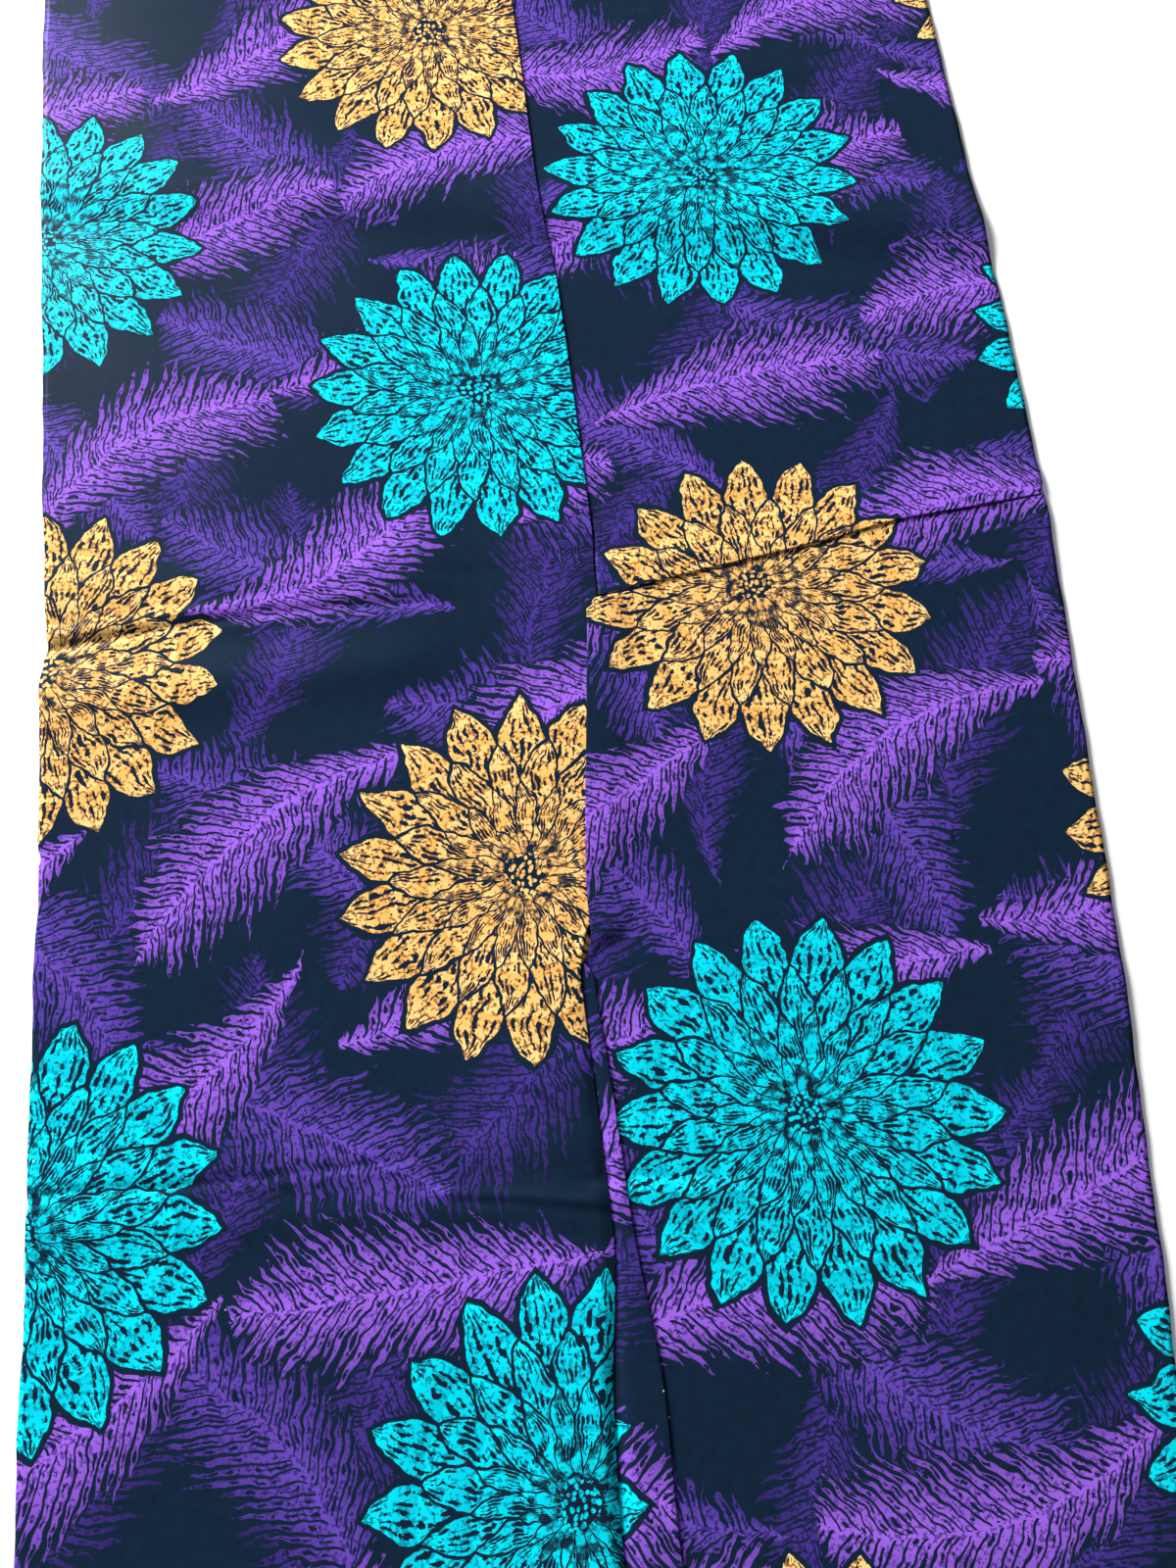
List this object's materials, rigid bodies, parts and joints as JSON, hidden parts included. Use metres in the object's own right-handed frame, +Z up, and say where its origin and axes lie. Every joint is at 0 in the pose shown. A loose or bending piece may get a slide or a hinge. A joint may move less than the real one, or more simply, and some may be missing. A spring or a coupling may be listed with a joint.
{
  "type": "wax print fabric length, pleated and laid flat",
  "caption": "Length of wax-printed cotton laid flat in folded layers, with a lengthwise pleat and a slanting tuck.",
  "frame": {"origin": "centre of the cloth's outline, on the surface that it lies on", "axes": "+X across the cloth from the left selvedge to the right one, +Y along the cloth, +Z up out of the surface"},
  "size_m": [1.036, 1.83, 0.0116],
  "materials": {
    "printed_cotton": "plain-weave cotton, wax printed in gold, teal, orchid and violet on navy, pressed, with a soft sheen",
    "printed_cotton_under": "the same plain-weave printed cotton, seen only at its edges"
  },
  "bodies": {
    "root": {"hidden_lengths": "printed_cotton_under", "left_panel": "printed_cotton", "right_panel_upper": "printed_cotton", "right_panel_lower": "printed_cotton", "pleat_ply": "printed_cotton"}
  },
  "joints": []
}
